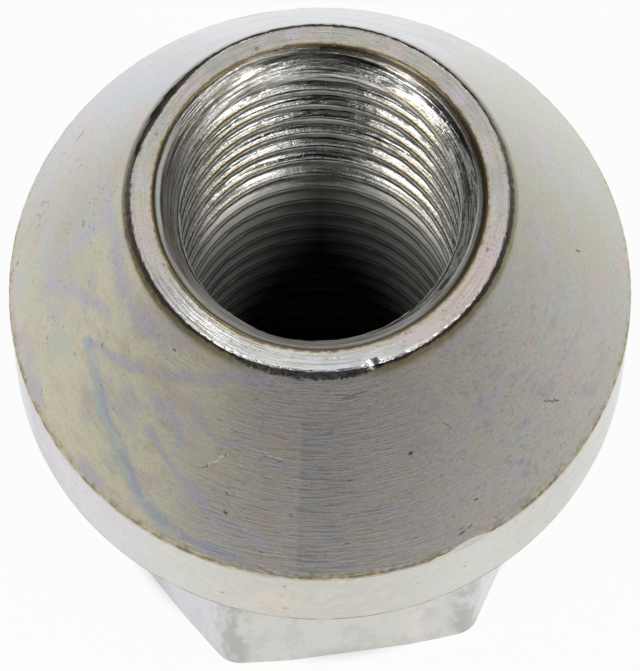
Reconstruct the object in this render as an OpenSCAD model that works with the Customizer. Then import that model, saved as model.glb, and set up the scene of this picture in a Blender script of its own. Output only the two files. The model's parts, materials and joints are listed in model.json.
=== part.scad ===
// Lug nut: a hex for the wrench, a round collar and a conical seat, tapped right through.
// It stands on its hex end. The thread axis is Z, and Z = 0 is the end face of the hex.

/* [Thread] */
// Nominal diameter of the wheel stud's thread
thread_d = 14; // [10:0.5:15]
// Pitch of that thread
thread_pitch = 1.5; // [1:0.25:2]
// How much wider than the thread its two countersunk mouths are
mouth_over = 0.8; // [0.2:0.1:1.2]
// Included angle of the countersinks
mouth_angle = 90; // [60:5:120]

/* [Conical seat] */
// Included angle of the seat
seat_angle = 60; // [50:1:90]
// Diameter of the rim, where the seat meets the collar
rim_d = 28.6; // [26:0.1:34]
// Diameter of the seat's end face, at the sharp corner before its edge is rounded
face_d = 16.8; // [16:0.1:20]
// Radius of the rounded edge between the end face and the seat
face_edge_r = 0.15; // [0.05:0.05:0.6]

/* [Collar] */
// Height of the straight band under the rim
collar_h = 5.55; // [2:0.05:10]
// Edge break at the foot of the collar
collar_break = 0.2; // [0.05:0.05:1]

/* [Wrench hex] */
// Width of the hex across its flats
hex_af = 20.8; // [18:0.1:22]
// Height of the hex under the collar
hex_h = 15.9; // [8:0.1:25]
// Radius of the hex's upright corners
hex_corner_r = 1.15; // [0.2:0.05:3]
// Diameter of the circle where the chamfer of the hex end begins
hex_chamfer_d = 21.3; // [18:0.1:22]
// Slope of that chamfer against the end face
hex_chamfer_angle = 32; // [15:1:45]

/* [Hidden] */

bore_r = (thread_d - thread_pitch) / 2;
mouth_r = (thread_d + mouth_over) / 2;
mouth_flare = tan(mouth_angle / 2);
mouth_depth = (mouth_r - bore_r) / mouth_flare;

rim_r = rim_d / 2;
face_r = face_d / 2;
seat_slope = 90 - seat_angle / 2;
rim_z = hex_h + collar_h;
top_z = rim_z + (rim_r - face_r) * tan(seat_slope);
// The rounded edge leaves the face and the seat at this distance from their sharp corner.
edge_run = face_edge_r * tan(seat_slope / 2);

hex_sides = 6;
hex_turn = 360 / hex_sides;
corner_reach = (hex_af / 2 - hex_corner_r) / cos(hex_turn / 2);
// The flats cross the corner arcs this little inside their tangent.
flat_inset = 0.002;
chamfer_r = hex_chamfer_d / 2;
chamfer_flare = 1 / tan(hex_chamfer_angle);

// Cutters run this far past the faces that they open.
overshoot = 1;
fine = 96;

// A point at a given distance and angle from the origin.
function polar(r, a) = [r * cos(a), r * sin(a)];

// Section of the collar and the seat, from the axis outwards.
module head_section() {
  polygon([
    [0, hex_h],
    [rim_r - collar_break, hex_h],
    [rim_r, hex_h + collar_break],
    [rim_r, rim_z],
    [face_r, top_z] + polar(edge_run, -seat_slope),
    [face_r - edge_run, top_z],
    [0, top_z]
  ]);
  translate([face_r - edge_run, top_z - face_edge_r]) circle(r = face_edge_r, $fn = fine);
}

// Outline of the hex, with a flat on each side and an arc at each corner.
module hex_outline() {
  polygon([
    for (k = [0 : hex_sides - 1], side = [-1, 1])
      polar(corner_reach, k * hex_turn) + polar(hex_corner_r - flat_inset, (k + side / 2) * hex_turn)
  ]);
  for (k = [0 : hex_sides - 1])
    translate(polar(corner_reach, k * hex_turn)) circle(r = hex_corner_r, $fn = fine);
}

// The hex, run up into the collar, with its end chamfered by a cone that crosses the corners.
module wrench_hex() {
  intersection() {
    linear_extrude(rim_z) hex_outline();
    cylinder(h = rim_z, r1 = chamfer_r, r2 = chamfer_r + rim_z * chamfer_flare, $fn = fine);
  }
}

// The hole for the stud at the thread's minor diameter, with a countersink at each mouth.
module tapped_bore() {
  flare_r = mouth_r + overshoot * mouth_flare;
  rotate_extrude($fn = fine) polygon([
    [0, -overshoot],
    [flare_r, -overshoot],
    [bore_r, mouth_depth],
    [bore_r, top_z - mouth_depth],
    [flare_r, top_z + overshoot],
    [0, top_z + overshoot]
  ]);
}

module lug_nut() {
  color([0.80, 0.79, 0.74]) difference() {
    union() {
      wrench_hex();
      rotate_extrude($fn = fine) head_section();
    }
    tapped_bore();
  }
}

lug_nut();
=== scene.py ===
"""A plated lug nut with a cut thread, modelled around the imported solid, and the studio it is lit in."""

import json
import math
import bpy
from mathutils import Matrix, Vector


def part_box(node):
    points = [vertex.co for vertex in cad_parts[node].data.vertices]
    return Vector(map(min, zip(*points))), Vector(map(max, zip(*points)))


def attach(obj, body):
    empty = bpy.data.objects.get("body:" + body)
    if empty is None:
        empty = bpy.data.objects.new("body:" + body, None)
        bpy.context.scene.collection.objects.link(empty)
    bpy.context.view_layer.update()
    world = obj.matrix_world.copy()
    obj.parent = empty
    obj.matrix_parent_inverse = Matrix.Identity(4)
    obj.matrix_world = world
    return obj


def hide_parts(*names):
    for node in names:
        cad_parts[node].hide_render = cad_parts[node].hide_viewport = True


bl_info = {
    "name": "Plated Lug Nut",
    "version": (1, 0, 0),
    "blender": (4, 5, 0),
    "location": "View3D > Sidebar > Lug Nut",
    "description": "Builds a plated lug nut with a cut thread, and the studio it is lit in",
    "category": "Object",
}

from functools import reduce

import bpy
import numpy as np
from mathutils import Vector

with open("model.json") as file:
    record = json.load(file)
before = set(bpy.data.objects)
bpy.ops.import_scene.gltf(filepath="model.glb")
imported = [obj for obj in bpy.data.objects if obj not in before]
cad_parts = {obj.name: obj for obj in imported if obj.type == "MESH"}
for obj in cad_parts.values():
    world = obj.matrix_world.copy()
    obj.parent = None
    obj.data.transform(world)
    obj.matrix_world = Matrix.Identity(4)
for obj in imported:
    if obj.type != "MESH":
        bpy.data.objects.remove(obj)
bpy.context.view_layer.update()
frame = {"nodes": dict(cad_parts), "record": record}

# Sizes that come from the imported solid, in millimetres
MM = 0.001
NODE = "lug_nut"
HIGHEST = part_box(NODE)[1]
MOUNTS = {mount["name"]: mount for mount in frame["record"]["mounts"]}
BORE = MOUNTS["stud_thread"]["dims"]
CORNERS = np.array([corner.co for corner in frame["nodes"][NODE].data.vertices]) / MM

TOP = HIGHEST.z / MM
RIM_RADIUS = min(HIGHEST.x, HIGHEST.y) / MM
RIM_Z = MOUNTS["cone_seat"]["pos_m"][2] / MM
HEX_HEIGHT = 2 * MOUNTS["wrench_hex"]["pos_m"][2] / MM
BORE_RADIUS = BORE["r_mm"]
MOUTH_DEPTH = (TOP - BORE["length_mm"]) / 2
MOUTH_RADIUS = BORE_RADIUS + MOUTH_DEPTH
SEAT_SLOPE = math.radians(60)
FACE_RADIUS = RIM_RADIUS - (TOP - RIM_Z) / math.tan(SEAT_SLOPE)

# The hex has a corner on +X and a flat across Y, which give its width and the round of its corners
HEX_SIDES = 6
HEX_HALF_TURN = math.pi / HEX_SIDES
HEX_POINTS = CORNERS[CORNERS[:, 2] < HEX_HEIGHT - 0.1]
HEX_FLAT = HEX_POINTS[:, 1].max()
HEX_CORNER = HEX_POINTS[:, 0].max()
HEX_ROUND = (HEX_FLAT - HEX_CORNER * math.cos(HEX_HALF_TURN)) / (1 - math.cos(HEX_HALF_TURN))

# The side that faces the camera, as an angle from +X, from which bearings on the nut are counted
CAMERA_AZIMUTH = -8.04
NEAR_SIDE = math.radians(CAMERA_AZIMUTH - 90)

# Numbers of the materials on the nut's faces, in the order in which the nut gets them
END_FACE, SEAT, COLLAR, HEX, THREAD = range(5)


def length(name, description, millimetres):
    """A length property."""
    return bpy.props.FloatProperty(
        name=name, description=description, default=millimetres * MM, unit="LENGTH"
    )


def slope(name, description, degrees):
    """An angle property."""
    return bpy.props.FloatProperty(
        name=name, description=description, default=math.radians(degrees), subtype="ANGLE"
    )


def tint(name, description, colour):
    """A colour property."""
    return bpy.props.FloatVectorProperty(
        name=name, description=description, default=colour, size=3, min=0, max=1, subtype="COLOR"
    )


class NutSizes(bpy.types.PropertyGroup):
    """Sizes of the nut's edges and thread that the solid leaves open"""

    thread_pitch: length("Thread pitch", "Rise of the thread in one turn", 1.5)
    thread_depth: length("Thread depth", "From the crest to the root", 0.75)
    crest_width: length("Crest width", "Width of the flat crest", 0.30)
    burr: length("Crest burr", "How far the torn crest strays", 0.02)
    face_edge_round: length("Face edge", "Radius between the end face and the seat", 0.15)
    rim_round: length("Rim edge", "Radius between the seat and the collar", 0.25)
    collar_break: length("Collar foot", "Edge break at the collar's foot", 0.2)
    chamfer_radius: length("Hex chamfer", "Radius where the hex chamfer begins", 10.65)
    chamfer_slope: slope("Chamfer slope", "Slope of the hex chamfer against the end face", 32)


class NutFinish(bpy.types.PropertyGroup):
    """Colours of the plating and of the thread"""

    silver: tint("Silver", "Plating with no film colour", (0.70, 0.69, 0.65))
    cream: tint("Cream", "Plating of the collar and the hex", (0.585, 0.58, 0.535))
    straw: tint("Straw", "Olive yellow film on the left", (0.92, 0.875, 0.66))
    sand: tint("Sand", "Dull yellow film on the right", (0.69, 0.66, 0.55))
    putty: tint("Putty", "Dull, warm plating of the collar", (0.53, 0.52, 0.465))
    stone: tint("Stone", "Grey plating at the collar's right", (0.40, 0.405, 0.375))
    plum: tint("Plum", "Dark lilac film at the collar's left", (0.36, 0.325, 0.39))
    sage: tint("Sage", "Grey green film", (0.655, 0.68, 0.575))
    # On the back of the seat the next colour is partly a painted sheen of the grazing view
    sky: tint("Sky", "Pale blue film at the back", (0.81, 0.84, 0.875))
    frost: tint("Frost", "Pale blue film on the hex", (0.56, 0.595, 0.615))
    mist: tint("Mist", "Dull blue film", (0.66, 0.69, 0.74))
    pewter: tint("Pewter", "Warm grey film in front", (0.70, 0.655, 0.62))
    slate: tint("Slate", "Dark grey blue film", (0.44, 0.45, 0.48))
    tan: tint("Tan", "Light brown film", (0.74, 0.64, 0.47))
    lilac: tint("Lilac", "Lilac film", (0.71, 0.67, 0.745))
    mauve: tint("Mauve", "Dull lilac film", (0.58, 0.55, 0.60))
    blue: tint("Blue", "Violet blue film", (0.60, 0.625, 0.715))
    aqua: tint("Aqua", "Grey green blue film", (0.64, 0.75, 0.72))
    rose: tint("Rose", "Pink film", (0.74, 0.63, 0.60))
    peach: tint("Peach", "Pale orange film", (0.72, 0.60, 0.45))
    rust: tint("Rust", "Orange flecks", (0.60, 0.38, 0.22))
    olive: tint("Olive", "Burnt film along the rim", (0.33, 0.29, 0.15))
    brown: tint("Brown", "Burnt film round the end face", (0.20, 0.15, 0.08))
    gold: tint("Gold", "Thin burnt film", (0.55, 0.44, 0.22))
    ink: tint("Ink", "Blackened edge of the end face", (0.06, 0.055, 0.05))
    graphite: tint("Graphite", "Rough, dark edge in front", (0.17, 0.165, 0.175))
    smoke: tint("Smoke", "Rubbed, dirty plating", (0.36, 0.35, 0.32))
    soot: tint("Soot", "Dirt in pits and scratches", (0.03, 0.03, 0.03))
    chalk: tint("Chalk", "Freshly scraped metal", (0.93, 0.93, 0.90))
    steel: tint("Steel", "Metal of the thread", (0.68, 0.68, 0.64))
    # The next colour is painted shade for deep in the bore
    depths: tint("Depths", "Oily metal deep in the bore", (0.03, 0.03, 0.025))


class NutStage(bpy.types.PropertyGroup):
    """Camera, floor and lights"""

    elevation: slope("Camera elevation", "Above the floor", 67.28)
    distance: length("Camera distance", "From the camera to its target", 241.4)
    target_height: length("Target height", "Height of the camera's target", 15.66)
    lens: bpy.props.FloatProperty(
        name="Lens", description="Focal length on a 36 mm sensor", default=275.87, unit="CAMERA"
    )
    floor: tint("Floor", "Colour of the floor", (0.9, 0.9, 0.9))
    lamp_power: bpy.props.FloatProperty(
        name="Lamp power", description="Power of each square metre of a lamp", default=14, unit="POWER"
    )


def spaced(start, end, count, gather=0.0):
    """Rows from start up to but not including end, gathered towards both ends by a sine of the share."""
    share = np.arange(count) / count
    share = share - gather * np.sin(2 * np.pi * share) / (2 * np.pi)
    return start + (end - start) * share


def ripple(bearing, waves, seed):
    """A wavy line around the nut: a sum of cosines with whole numbers of waves and random phases."""
    rng = np.random.default_rng(seed)
    waves = np.asarray(waves)
    phase = rng.uniform(0, 2 * np.pi, len(waves))
    height = rng.uniform(0.4, 1.0, len(waves)) / math.sqrt(len(waves))
    return height @ np.cos(np.outer(waves, bearing) + phase[:, None])


# Mesh of the nut
COLUMNS = 400
CORNER_CROWDING = 0.6
MOUTH_LIP = 0.05
# The least width of the chamfer across the middle of a flat
LEAST_CHAMFER = 0.15
SHARP_ANGLE = math.radians(22)


def nut_columns():
    """Angles of the mesh columns from +X: even steps, drawn towards the six corners by a sine."""
    even = 2 * np.pi * np.arange(COLUMNS) / COLUMNS
    return even - CORNER_CROWDING / HEX_SIDES * np.sin(HEX_SIDES * even)


def hex_radius(angle):
    """Distance from the axis to the hex's side: the line of a flat, or the arc of the nearest corner."""
    off = np.mod(angle + HEX_HALF_TURN, 2 * HEX_HALF_TURN) - HEX_HALF_TURN
    reach = (HEX_FLAT - HEX_ROUND) / math.cos(HEX_HALF_TURN)
    arc = reach * np.cos(off) + np.sqrt(np.maximum(HEX_ROUND**2 - (reach * np.sin(off)) ** 2, 0))
    line = HEX_FLAT / np.cos(HEX_HALF_TURN - np.abs(off))
    arc_end = math.atan2(HEX_ROUND * math.sin(HEX_HALF_TURN), reach + HEX_ROUND * math.cos(HEX_HALF_TURN))
    return np.where(np.abs(off) < arc_end, arc, line)


def outer_rows(sizes, angle):
    """Radius and height of every row of the outside, from the seat's mouth down to the hex end's mouth,
    with each row's material. Straight stretches are lines between two rings, and round edges are arcs."""
    edge = sizes.face_edge_round / MM
    edge_run = edge * math.tan(SEAT_SLOPE / 2)
    rim = sizes.rim_round / MM
    rim_run = rim * math.tan((math.pi / 2 - SEAT_SLOPE) / 2)
    foot = sizes.collar_break / MM
    side = hex_radius(angle)
    chamfer_r = np.minimum(sizes.chamfer_radius / MM, side - LEAST_CHAMFER)
    chamfer_z = (side - chamfer_r) * math.tan(sizes.chamfer_slope)

    slant = np.array([math.cos(SEAT_SLOPE), -math.sin(SEAT_SLOPE)])
    seat_start = np.array([FACE_RADIUS, TOP]) + edge_run * slant
    seat_end = np.array([RIM_RADIUS, RIM_Z]) - rim_run * slant
    rows = []

    def add(material, radius, height):
        flat = np.zeros((len(radius), len(angle)))
        rows.append((material, np.asarray(radius) + flat, np.asarray(height) + flat))

    def line(material, start, end, count, gather=0.0):
        share = spaced(0, 1, count, gather)[:, None]
        add(material, start[0] + (end[0] - start[0]) * share, start[1] + (end[1] - start[1]) * share)

    def arc(material, centre, radius, start, end, count):
        turn = spaced(start, end, count)[:, None]
        add(material, centre[0] + radius * np.cos(turn), centre[1] + radius * np.sin(turn))

    face_end = (FACE_RADIUS - edge_run, TOP)
    line(END_FACE, (MOUTH_RADIUS, TOP), face_end, 10, 0.5)
    arc(END_FACE, (face_end[0], TOP - edge), edge, math.pi / 2, math.pi / 2 - SEAT_SLOPE, 6)
    line(SEAT, seat_start, seat_end, 60, 0.75)
    arc(SEAT, (RIM_RADIUS - rim, RIM_Z - rim_run), rim, math.pi / 2 - SEAT_SLOPE, 0, 4)
    line(COLLAR, (RIM_RADIUS, RIM_Z - rim_run), (RIM_RADIUS, HEX_HEIGHT + foot), 26, 0.7)
    line(COLLAR, (RIM_RADIUS, HEX_HEIGHT + foot), (RIM_RADIUS - foot, HEX_HEIGHT), 3)
    line(COLLAR, (RIM_RADIUS - foot, HEX_HEIGHT), (side, HEX_HEIGHT), 6)
    line(HEX, (side, HEX_HEIGHT), (side, chamfer_z), 24, 0.6)
    line(HEX, (side, chamfer_z), (chamfer_r, 0), 5)
    line(HEX, (chamfer_r, 0), (MOUTH_RADIUS, 0), 8)
    add(HEX, [[MOUTH_RADIUS]], [[0]])
    material = np.concatenate([np.full(len(radius), number) for number, radius, _ in rows])
    return np.concatenate([r for _, r, _ in rows]), np.concatenate([z for _, _, z in rows]), material


# Ragged edges: whole numbers of waves around the nut, random seeds, how near to an edge a point has to
# be, and how far an edge is drawn in, on average and by its ripple
RIM_WAVES = np.arange(40, 260, 3)
RIM_SEED = 3
RIM_REACH = 0.16
RIM_INSIDE = 0.3
RIM_INWARD = 0.012
RIM_SWING = 0.012
EDGE_WAVES = np.arange(20, 160, 3)
EDGE_SEED = 5
EDGE_REACH = 0.22
EDGE_BELOW = 0.6
EDGE_INWARD = 0.02
EDGE_SWING = 0.025
# Damage that is large enough to be a shape: a bearing, a depth, and a facet's lift or a dent's radius
PRESSED_BEARING = 28.0
RIM_LIFT = 15
FACE_LIFT = 60
CHIP_DROP = 0.05
RIM_FACETS = ((28.2, 0.064, 20), (24.0, 0.03, 12), (-9.2, 0.018, 15), (171.0, 0.03, 15))
RIM_DENTS = ((186.5, 0.30, 0.9), (189.7, 0.14, 0.6), (178.0, 0.12, 0.5))
FACE_CHIPS = ((16.2, 0.16, 0.7), (-106.0, 0.08, 0.6), (-119.0, 0.1, 0.8), (-127.0, 0.09, 0.7))


def towards(bearing, lift):
    """Unit vector that points outwards at a bearing and a lift above the horizon, both in degrees."""
    angle = NEAR_SIDE + math.radians(bearing)
    up = math.radians(lift)
    return np.array([math.cos(up) * math.cos(angle), math.cos(up) * math.sin(angle), math.sin(up)])


def on_edge(bearing, radius, height):
    """A point at a bearing in degrees on a ring round the nut."""
    return towards(bearing, 0) * radius + np.array([0, 0, height])


def press_flat(points, corner, normal, depth):
    """A facet: points beyond a plane, which lies at a depth under the corner, go straight back onto it."""
    beyond = np.maximum((points - corner) @ normal + depth, 0)
    return points - beyond[..., None] * normal


def press_ball(points, corner, normal, depth, ball):
    """A dent: points inside a ball, which reaches a depth under the corner, go out to its surface."""
    centre = corner + (ball - depth) * normal
    offset = points - centre
    distance = np.linalg.norm(offset, axis=-1, keepdims=True)
    inside = distance < ball
    return np.where(inside, centre + offset * ball / np.maximum(distance, 1e-6), points)


def wear(points, angle):
    """Ragged edges and damage: ripples along the rim and the face's edge, facets, dents and chips."""
    radius = np.hypot(points[..., 0], points[..., 1])
    height = points[..., 2]
    rim_ripple = ripple(angle, RIM_WAVES, RIM_SEED)
    edge_ripple = ripple(angle, EDGE_WAVES, EDGE_SEED)
    near_rim = np.exp(-(((height - RIM_Z) / RIM_REACH) ** 2)) * (radius > RIM_RADIUS - RIM_INSIDE)
    near_edge = np.exp(-(((radius - FACE_RADIUS) / EDGE_REACH) ** 2)) * (height > TOP - EDGE_BELOW)
    inward = near_rim * (RIM_INWARD + RIM_SWING * rim_ripple)
    inward = inward + near_edge * (EDGE_INWARD + EDGE_SWING * edge_ripple)
    flat = np.stack([points[..., 0], points[..., 1], 0 * height], -1) / radius[..., None]
    points = points - inward[..., None] * flat
    for bearing, depth, lift in RIM_FACETS:
        corner = on_edge(bearing, RIM_RADIUS, RIM_Z)
        points = press_flat(points, corner, towards(bearing, lift), depth)
    for bearing, depth, ball in RIM_DENTS:
        corner = on_edge(bearing, RIM_RADIUS, RIM_Z)
        points = press_ball(points, corner, towards(bearing, RIM_LIFT), depth, ball)
    for bearing, depth, ball in FACE_CHIPS:
        corner = on_edge(bearing, FACE_RADIUS, TOP - CHIP_DROP)
        points = press_ball(points, corner, towards(bearing, FACE_LIFT), depth, ball)
    return points


# Thread: the flanks' angle, and the random marks that tear its crest, at steps in radians along it, from a
# lead before the first turn to a tail after the last
FLANK_ANGLE = math.radians(30)
THREAD_SEED = 11
MARK_STEP = 0.05
MARK_HEIGHT = 1.6
MARK_LEAD = 7
MARK_TAIL = 40


def thread_profile(sizes):
    """Shares of the pitch and radii of one turn's rows: crest, upper flank, root and lower flank.
    The flanks rise at 30 degrees, so each is as tall as the depth times the tangent of 30 degrees."""
    pitch = sizes.thread_pitch / MM
    depth = sizes.thread_depth / MM
    crest = sizes.crest_width / MM / pitch
    flank = depth * math.tan(FLANK_ANGLE) / pitch
    root = 1 - crest - 2 * flank
    upper = crest + flank * np.array([1 / 3, 2 / 3, 1])
    share = np.array([0, crest / 2, crest, *upper, crest + flank + root, 1 - flank / 2])
    radius = BORE_RADIUS + depth * np.array([0, 0.04, 0, 1 / 3, 2 / 3, 1, 1, 0.5])
    return share, radius


def thread_rows(sizes, angle):
    """The tapped bore on rows that climb one pitch a turn: the wider of the thread's profile and of the two
    countersinks, which flare at 45 degrees. Rows past a mouth are held on its lip."""
    pitch = sizes.thread_pitch / MM
    share, profile = thread_profile(sizes)
    turns = np.arange(-1, math.ceil(TOP / pitch) + 1)
    climb = (turns[:, None] + share).ravel()
    radius = np.tile(profile, len(turns))
    torn = np.tile(np.array([1.0, -0.4, 1.0, 0.4, 0.2, 0, 0, 0.4]), len(turns))
    height = pitch * (climb[:, None] + angle / (2 * np.pi))
    along = 2 * np.pi * np.floor(climb)[:, None] + angle
    rng = np.random.default_rng(THREAD_SEED)
    marks = np.arange(0, along.max() + MARK_TAIL, MARK_STEP)
    burr = np.interp(along + MARK_LEAD, marks, rng.uniform(-MARK_HEIGHT, MARK_HEIGHT, len(marks)))
    height = np.clip(height, MOUTH_LIP, TOP - MOUTH_LIP)
    radius = radius[:, None] - sizes.burr / MM * torn[:, None] * burr
    flare = np.maximum(MOUTH_RADIUS - height, MOUTH_RADIUS - (TOP - height))
    return np.maximum(radius, flare), height, len(share)


def ring_points(radius, height, angle):
    """Points from radius, height and the angle of each column."""
    return np.stack([radius * np.cos(angle), radius * np.sin(angle), height], -1)


def faces_between(rows, beside):
    """Four-cornered faces from rows of point numbers, and the numbers of the points one column further."""
    return np.stack([rows[:-1], rows[1:], beside[1:], beside[:-1]], -1).reshape(-1, 4)


def nut_surface(sizes):
    """Points, faces and material numbers of the closed surface: the outside, the thread, and a strip of
    triangles at each mouth, where two columns of the outside meet one of the thread."""
    angle = nut_columns()
    radius, height, material = outer_rows(sizes, angle)
    outside = wear(ring_points(radius, height, angle), angle)
    rows, columns = radius.shape
    index = np.arange(rows * columns).reshape(rows, columns)
    quads = faces_between(index, np.roll(index, -1, 1))
    quad_material = np.repeat(material[:-1], columns)

    coarse = angle[::2]
    bore_r, bore_z, per_turn = thread_rows(sizes, coarse)
    bore = ring_points(bore_r, bore_z, coarse)
    cells = np.arange(bore_r.size).reshape(bore_r.shape)
    first = (bore_z <= MOUTH_LIP).sum(0) - 1
    last = bore_z.shape[0] - (bore_z >= TOP - MOUTH_LIP).sum(0)
    row = np.clip(np.arange(bore_z.shape[0])[:, None], first, last)
    cells = np.take_along_axis(cells, row, 0) + index.size
    wrapped = np.concatenate([cells[per_turn:, :1], np.repeat(cells[-1:, :1], per_turn, 0)])
    beside = np.concatenate([cells[:, 1:], wrapped], 1)
    corners = faces_between(cells, beside)
    triangles = np.concatenate([corners[:, [0, 1, 2]], corners[:, [0, 2, 3]]])

    low, high = cells[0], cells[-1]
    low_on, high_on = np.roll(low, -1), np.roll(high, -1)
    top_a, top_b, top_c = index[0, ::2], index[0, 1::2], np.roll(index[0, ::2], -1)
    end_a, end_b, end_c = index[-1, ::2], index[-1, 1::2], np.roll(index[-1, ::2], -1)
    strips = [
        (high, top_a, top_b),
        (high, top_b, high_on),
        (high_on, top_b, top_c),
        (end_a, low, end_b),
        (end_b, low, low_on),
        (end_b, low_on, end_c),
    ]
    triangles = np.concatenate([triangles] + [np.stack(strip, -1) for strip in strips])
    whole = (triangles != np.roll(triangles, 1, 1)).all(1)
    triangles = triangles[whole]

    points = np.concatenate([outside.reshape(-1, 3), bore.reshape(-1, 3)])
    used, compact = np.unique(np.concatenate([quads.ravel(), triangles.ravel()]), return_inverse=True)
    quads = compact[: quads.size].reshape(-1, 4)
    triangles = compact[quads.size :].reshape(-1, 3)
    numbers = np.concatenate([quad_material, np.full(len(triangles), THREAD)])
    return points[used], quads, triangles, numbers


def make_mesh(name, points, quads, triangles):
    """A mesh object at the origin from points in millimetres, four-cornered faces and triangles."""
    mesh = bpy.data.meshes.new(name)
    mesh.from_pydata((points * MM).tolist(), [], quads.tolist() + triangles.tolist())
    mesh.update()
    piece = bpy.data.objects.new(name, mesh)
    bpy.context.scene.collection.objects.link(piece)
    return piece


def math_method(operation):
    """A method that puts a Math node on a shade, and on a second value where the operation has one."""

    def method(self, *others):
        return self.math(operation, self, *others)

    return method


class Shade:
    """A value in a shader: one socket of a node tree, with Python's arithmetic on it."""

    def __init__(self, tree, socket=None):
        self.tree = tree
        self.socket = socket

    def node(self, kind, settings=None, sockets=None, out=0):
        """Adds a node of a kind, with its settings and the values or links of its sockets."""
        made = self.tree.nodes.new(kind)
        for name, value in (settings or {}).items():
            if name == "stops":
                ramp = made.color_ramp.elements
                while len(ramp) < len(value):
                    ramp.new(1)
                for stop, (place, colour) in zip(ramp, value):
                    stop.position = place
                    stop.color = (*colour, 1)
            else:
                setattr(made, name, value)
        for key, value in (sockets or {}).items():
            if isinstance(value, Shade):
                self.tree.links.new(value.socket, made.inputs[key])
            else:
                made.inputs[key].default_value = value
        return Shade(self.tree, made.outputs[out])

    def math(self, operation, *values):
        """A Math node on some values."""
        return self.node("ShaderNodeMath", {"operation": operation}, dict(enumerate(values)))

    def vector(self, operation, *values, out=0):
        """A Vector Math node on this vector and others."""
        sockets = dict(enumerate((self, *values)))
        return self.node("ShaderNodeVectorMath", {"operation": operation}, sockets, out)

    __add__ = __radd__ = math_method("ADD")
    __sub__ = math_method("SUBTRACT")
    __mul__ = __rmul__ = math_method("MULTIPLY")
    __truediv__ = math_method("DIVIDE")
    __pow__ = math_method("POWER")
    least = math_method("MINIMUM")
    most = math_method("MAXIMUM")
    size = math_method("ABSOLUTE")

    def __rsub__(self, other):
        return self.math("SUBTRACT", other, self)

    def rise(self, low, high):
        """0 up to low, 1 from high on, and a smooth step between them. Low may be the larger of the two."""
        settings = {"interpolation_type": "SMOOTHSTEP"}
        return self.node("ShaderNodeMapRange", settings, {0: self, 1: low, 2: high, 3: 0.0, 4: 1.0})

    def band(self, centre, half):
        """1 at the centre, falling smoothly to 0 at half a width to either side."""
        return (self - centre).size().rise(half, 0.0)

    def pick(self, first, second):
        """A colour: the first where this value is 0, the second where it is 1."""
        sockets = {0: self, 6: colour_of(first), 7: colour_of(second)}
        return self.node("ShaderNodeMix", {"data_type": "RGBA"}, sockets, 2)

    def ramp(self, stops):
        """A colour from stops of a place and a colour, which this value runs along."""
        return self.node("ShaderNodeValToRGB", {"stops": stops}, {0: self})

    def greys(self, stops):
        """A grey from stops of a place and a brightness."""
        return self.ramp([(place, (grey,) * 3) for place, grey in stops])

    def noise(self, scale, detail=2.0, roughness=0.5, distortion=0.0):
        """Noise on this vector, from 0 to 1."""
        sockets = {"Vector": self, "Scale": scale, "Detail": detail, "Roughness": roughness}
        sockets["Distortion"] = distortion
        return self.node("ShaderNodeTexNoise", {}, sockets)

    def cells(self, scale):
        """Distance to the nearest of a scatter of points on this vector."""
        return self.node("ShaderNodeTexVoronoi", {}, {"Vector": self, "Scale": scale})

    def bump(self, distance, under=None):
        """A normal bent by this height, which is from 0 to 1 times a distance in millimetres."""
        sockets = {"Height": self, "Distance": distance * MM, "Strength": 1.0}
        if under is not None:
            sockets["Normal"] = under
        return self.node("ShaderNodeBump", {}, sockets)


def colour_of(value):
    """A colour for a socket: a shade as it is, or three numbers with a full alpha."""
    return value if isinstance(value, Shade) else (*value, 1.0)


class Plating:
    """A metal material in the making: it tells where a point lies on the nut, in millimetres and degrees
    from the Object coordinates, and lays coats of colour over each other."""

    def __init__(self, name, finish):
        self.finish = finish
        self.colour = None
        self.material = bpy.data.materials.new(name)
        self.material.use_nodes = True
        tree = self.material.node_tree
        self.shader = tree.nodes["Principled BSDF"]
        self.shader.inputs["Metallic"].default_value = 1.0
        self.start = Shade(tree)
        metres = self.start.node("ShaderNodeTexCoord", {}, {}, "Object")
        scaling = {0: metres, "Scale": 1 / MM}
        self.place = self.start.node("ShaderNodeVectorMath", {"operation": "SCALE"}, scaling)
        self.x, self.y, self.z = (
            self.start.node("ShaderNodeSeparateXYZ", {}, {0: self.place}, axis) for axis in range(3)
        )
        self.radius = (self.x * self.x + self.y * self.y) ** 0.5
        along = self.x * math.cos(NEAR_SIDE) + self.y * math.sin(NEAR_SIDE)
        across = self.y * math.cos(NEAR_SIDE) - self.x * math.sin(NEAR_SIDE)
        self.bearing = across.math("ARCTAN2", across, along) * math.degrees(1)
        self.share = (TOP - self.z) / (TOP - RIM_Z)

    def noise(self, *settings):
        """Noise on the place."""
        return self.place.noise(*settings)

    def joined(self, x, y, z=0.0):
        """A vector of two or three values."""
        return self.start.node("ShaderNodeCombineXYZ", {}, {0: x, 1: y, 2: z})

    def stretched(self, x, y, z):
        """The place with each axis stretched, for noise that runs along the others."""
        return self.place.vector("MULTIPLY", (x, y, z))

    def turn(self, anisotropy):
        """Metal cut on a lathe, whose gloss spreads across the turning lines."""
        self.shader.inputs["Anisotropic"].default_value = anisotropy
        self.shader.inputs["Anisotropic Rotation"].default_value = 0.25

    def tint(self, colour):
        """A colour of the finish by its name, and any other colour as it is."""
        return tuple(getattr(self.finish, colour)) if isinstance(colour, str) else colour

    def base(self, sway, stops):
        """A first colour that changes round the nut, from bearings and colours, with swaying borders."""
        wander = self.noise(0.22, 3.0) - 0.5
        turn = self.bearing / 360.0 + 0.5 + sway * wander
        self.colour = turn.ramp([(bearing / 360.0 + 0.5, self.tint(name)) for bearing, name in stops])

    def coat(self, mask, colour):
        """Lays a colour on where a mask is 1, over the colour so far."""
        self.colour = mask.pick(self.colour, self.tint(colour))

    def connect(self, **sockets):
        """Links the colour and other shades to the shader's sockets, and gives the material."""
        for name, value in {"base color": self.colour, **sockets}.items():
            self.start.tree.links.new(value.socket, self.shader.inputs[name.title()])
        return self.material


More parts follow.
